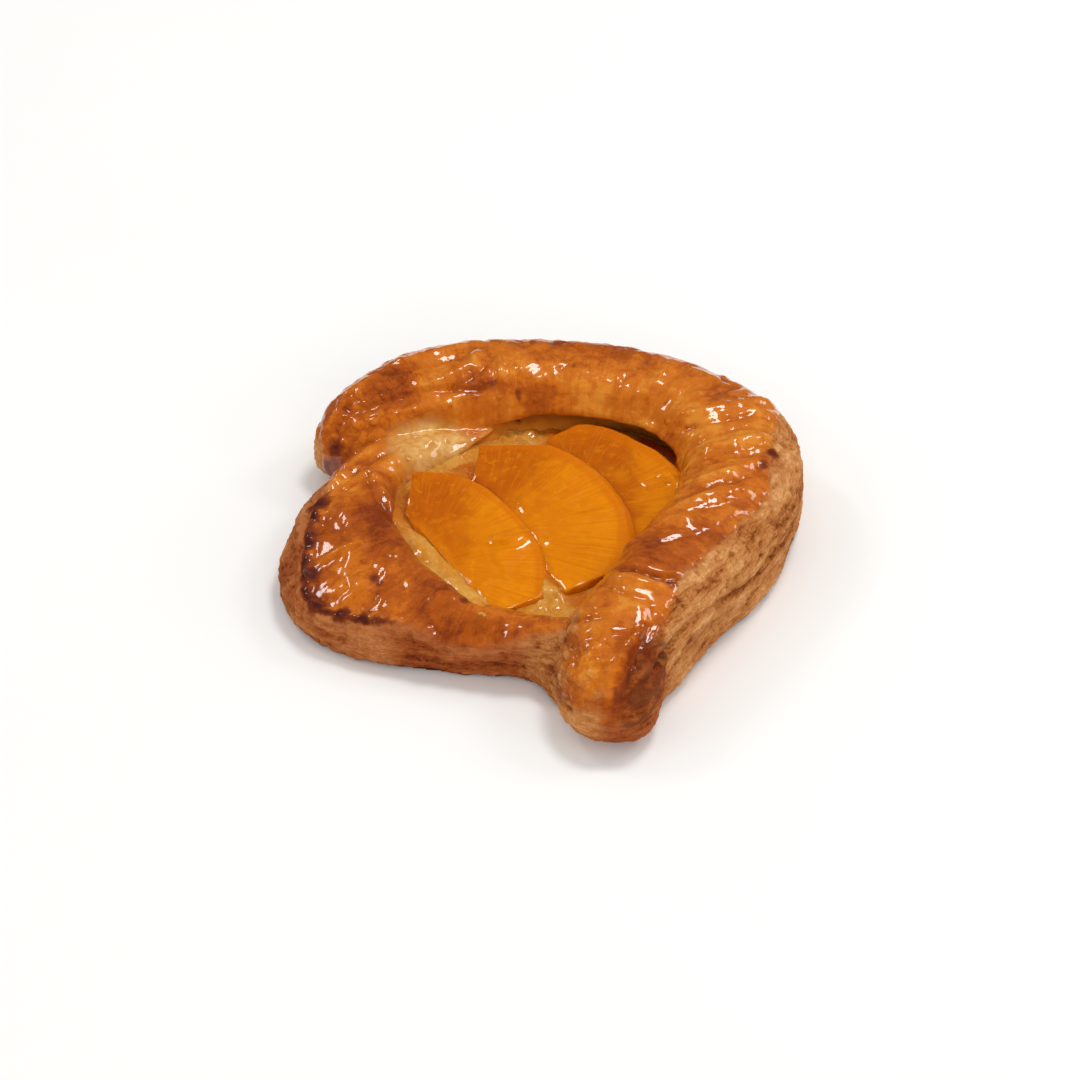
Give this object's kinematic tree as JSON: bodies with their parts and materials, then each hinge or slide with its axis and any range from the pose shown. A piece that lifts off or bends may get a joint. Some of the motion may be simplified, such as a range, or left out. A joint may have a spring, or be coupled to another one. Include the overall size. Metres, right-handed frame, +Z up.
{
  "type": "danish pastry",
  "caption": "Folded danish pastry with an open well of custard and shingled peach slices under a glossy glaze.",
  "frame": {"origin": "middle of the footprint, on the flat underside", "axes": "+Z up out of the well, +Y from the pinched front corner to the back, +X across to the right"},
  "size_m": [0.1158, 0.1238, 0.0235],
  "materials": {
    "baked_dough": "baked golden brown crust under a clear sugar glaze, matt and flaky on the cut sides",
    "custard": "soft pale yellow baking custard, wet with glaze",
    "peach": "cooked peach flesh, wet and slightly translucent"
  },
  "bodies": {
    "root": {"pastry": "baked_dough", "custard": "custard", "peach_slice_left": "peach", "peach_slice_middle": "peach", "peach_slice_right": "peach"}
  },
  "joints": []
}
